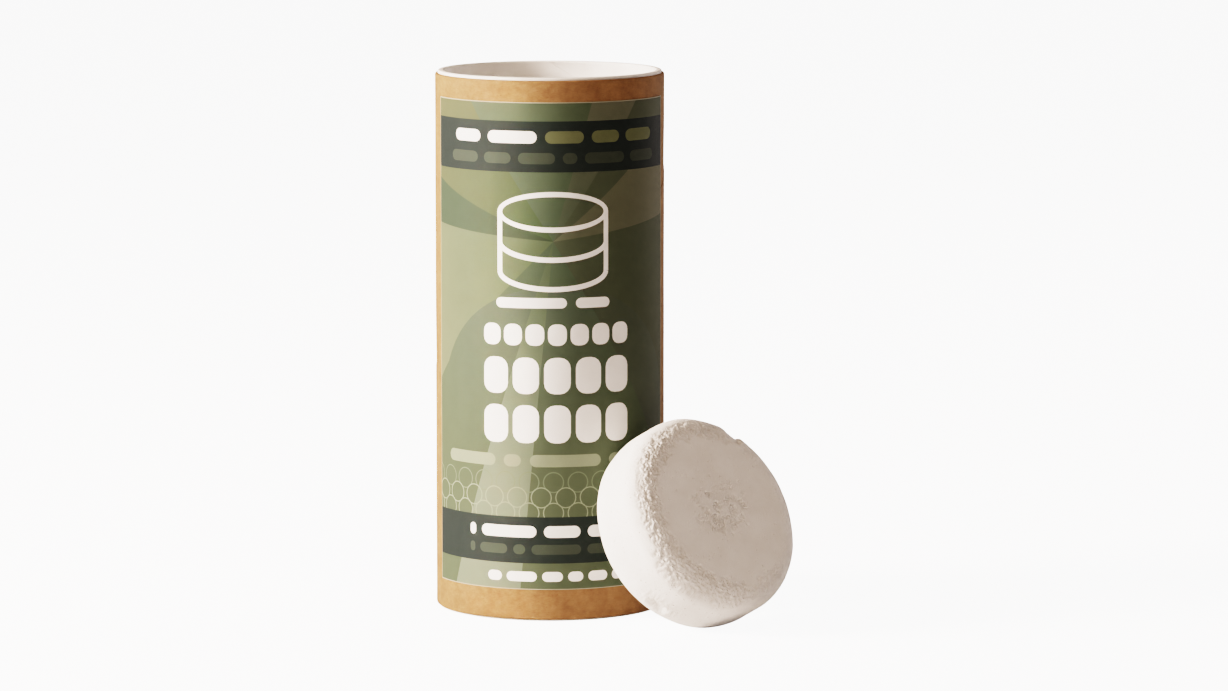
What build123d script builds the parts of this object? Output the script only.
from build123d import *
import os
from math import cos, hypot, pi, radians, sin

# Pressed chalk discs for gymnastics, in an open paper tube. Millimetres.
# The tube stands on Z = 0 with its axis on the Z axis, and its label faces -Y.
# Four discs are stacked in the tube, and a fifth leans on its front right side.

# Paper tube: a kraft wrap over a board core over a white lining
TUBE_R = 30.0  # outside of the wrap
WRAP_T = 0.7
CORE_T = 1.35
LINING_T = 0.35
TUBE_H = 140.4  # top of the wrap and of the core
WRAP_LIFT = 0.4  # the wrap stops this short of the floor
WRAP_EDGE_R = 0.45  # rounding of the wrap's outer edges
RIM_H = 0.75  # the white rolled rim stands this far above the wrap
RIM_EDGE_R = 0.3
BASE_T = 2.0
BASE_LINING_T = 0.3

# Printed label, a paper sheet round the front of the wrap
LABEL_T = 0.15
LABEL_LOW = 8.3
LABEL_HIGH = 134.9
LABEL_SPAN = 143.5  # degrees round the tube
LABEL_TURN = 1.5  # degrees from -Y towards +X, to the label's middle

# Chalk disc: one face has a tighter rounded edge than the other
DISC_R = 27.0
DISC_T = 24.0
FACE_EDGE_R = 6.2
BACK_EDGE_R = 10.5

# Discs left in the tube
STACKED_DISCS = 4
STACK_GAP = 0.2

# Disc leaning on the tube, its tight-edged face outwards. Bearings turn from -Y towards +X.
LEAN_TILT = 28.3  # degrees that the face looks up
LEAN_FACE_BEARING = 42.3
LEAN_CENTRE_BEARING = 46.8
LEAN_GAP = 0.3  # between the disc and the label
RIM_STEPS = 720  # points tried round the disc's rim to find the nearest one
SOLVE_STEPS = 40

CORE_R = TUBE_R - WRAP_T
LINING_R = CORE_R - CORE_T
BORE_R = LINING_R - LINING_T
BASE_TOP = BASE_T + BASE_LINING_T


def ring(outer, inner, low, high):
    """A plain round wall between two heights."""
    height = high - low
    return Pos(0, 0, low + height / 2) * (Cylinder(outer, height) - Cylinder(inner, height))


def round_plate(radius, low, high):
    """A round plate between two heights."""
    return Pos(0, 0, (low + high) / 2) * Cylinder(radius, high - low)


def circles_at(shape, height, radius):
    """The shape's circular edges at one height and of one radius."""
    near = 1e-3
    return [
        edge
        for edge in shape.edges().filter_by(GeomType.CIRCLE)
        if abs(edge.center().Z - height) < near and abs(edge.radius - radius) < near
    ]


def kraft_wrap():
    """The brown paper outside, with soft outer edges at its top and foot."""
    wrap = ring(TUBE_R, CORE_R, WRAP_LIFT, TUBE_H)
    edges = circles_at(wrap, WRAP_LIFT, TUBE_R) + circles_at(wrap, TUBE_H, TUBE_R)
    return fillet(edges, WRAP_EDGE_R)


def core_tube():
    """The board tube that carries the load, from the floor to under the rim."""
    return ring(CORE_R, LINING_R, 0, TUBE_H)


def white_lining():
    """The white ply inside, rolled over the core's top edge as a rounded rim."""
    top = TUBE_H + RIM_H
    lining = ring(LINING_R, BORE_R, BASE_TOP, TUBE_H) + ring(CORE_R, BORE_R, TUBE_H, top)
    return fillet(circles_at(lining, top, CORE_R) + circles_at(lining, top, BORE_R), RIM_EDGE_R)


def base_board():
    """The round board let into the foot of the core, flush with it."""
    return round_plate(LINING_R, 0, BASE_T)


def base_lining():
    """The white paper disc on top of the base board."""
    return round_plate(LINING_R, BASE_T, BASE_TOP)


def front_label():
    """The printed sheet glued round the front of the wrap."""
    height = LABEL_HIGH - LABEL_LOW
    section = Plane.XZ * Pos(TUBE_R + LABEL_T / 2, LABEL_LOW + height / 2) * Rectangle(LABEL_T, height)
    start = -90 + LABEL_TURN - LABEL_SPAN / 2
    return Rot(0, 0, start) * revolve(section, Axis.Z, LABEL_SPAN)


def chalk_disc():
    """One pressed disc, centred on the origin with its tight-edged face up."""
    disc = Cylinder(DISC_R, DISC_T)
    disc = fillet(circles_at(disc, DISC_T / 2, DISC_R), FACE_EDGE_R)
    return fillet(circles_at(disc, -DISC_T / 2, DISC_R), BACK_EDGE_R)


def stacked_disc(index):
    """A disc in the tube, counted from 0 at the bottom."""
    low = BASE_TOP + STACK_GAP + index * (DISC_T + STACK_GAP)
    return Pos(0, 0, low + DISC_T / 2) * chalk_disc()


def bearing(degrees):
    """The level unit vector that points this far round from -Y towards +X."""
    return Vector(sin(radians(degrees)), -cos(radians(degrees)), 0)


def edge_rings():
    """The two circles that the disc's rounded edges follow: height on its axis, radius, rounding."""
    return (
        (DISC_T / 2 - FACE_EDGE_R, DISC_R - FACE_EDGE_R, FACE_EDGE_R),
        (BACK_EDGE_R - DISC_T / 2, DISC_R - BACK_EDGE_R, BACK_EDGE_R),
    )


def lean_normal():
    """The direction that the leaning disc's face looks in."""
    return bearing(LEAN_FACE_BEARING) * cos(radians(LEAN_TILT)) + Vector(0, 0, sin(radians(LEAN_TILT)))


def lean_height():
    """The height of the leaning disc's centre when its lowest point is on the floor."""
    tilt = radians(LEAN_TILT)
    return max(rounding + radius * cos(tilt) - along * sin(tilt) for along, radius, rounding in edge_rings())


def distance_from_axis(centre):
    """How near the leaning disc comes to the tube's axis."""
    normal = lean_normal()
    level = bearing(LEAN_FACE_BEARING + 90)
    upward = normal.cross(level)
    nearest = []
    for along, radius, rounding in edge_rings():
        for step in range(RIM_STEPS):
            turn = 2 * pi * step / RIM_STEPS
            point = centre + normal * along + level * (radius * cos(turn)) + upward * (radius * sin(turn))
            nearest.append(hypot(point.X, point.Y) - rounding)
    return min(nearest)


def lean_centre():
    """The leaning disc's centre: on the floor, and the gap away from the label."""
    wanted = TUBE_R + LABEL_T + LEAN_GAP
    lift = Vector(0, 0, lean_height())
    close, far = TUBE_R, 3 * TUBE_R
    for _ in range(SOLVE_STEPS):
        middle = (close + far) / 2
        if distance_from_axis(bearing(LEAN_CENTRE_BEARING) * middle + lift) < wanted:
            close = middle
        else:
            far = middle
    return bearing(LEAN_CENTRE_BEARING) * far + lift


def leaning_disc():
    """The disc outside, propped between the floor and the tube."""
    seat = Plane(origin=lean_centre(), x_dir=bearing(LEAN_FACE_BEARING + 90), z_dir=lean_normal())
    return seat.location * chalk_disc()


def all_nodes():
    """Every sub-part by its node name."""
    nodes = {
        "kraft_wrap": kraft_wrap(),
        "core_tube": core_tube(),
        "white_lining": white_lining(),
        "base_board": base_board(),
        "base_lining": base_lining(),
        "front_label": front_label(),
        "leaning_disc": leaning_disc(),
    }
    for index in range(STACKED_DISCS):
        nodes[f"stacked_disc_{index + 1}"] = stacked_disc(index)
    return nodes


os.makedirs("parts", exist_ok=True)
for name, shape in all_nodes().items():
    export_step(shape, f"parts/{name}.step")
print("leaning disc centre:", lean_centre())
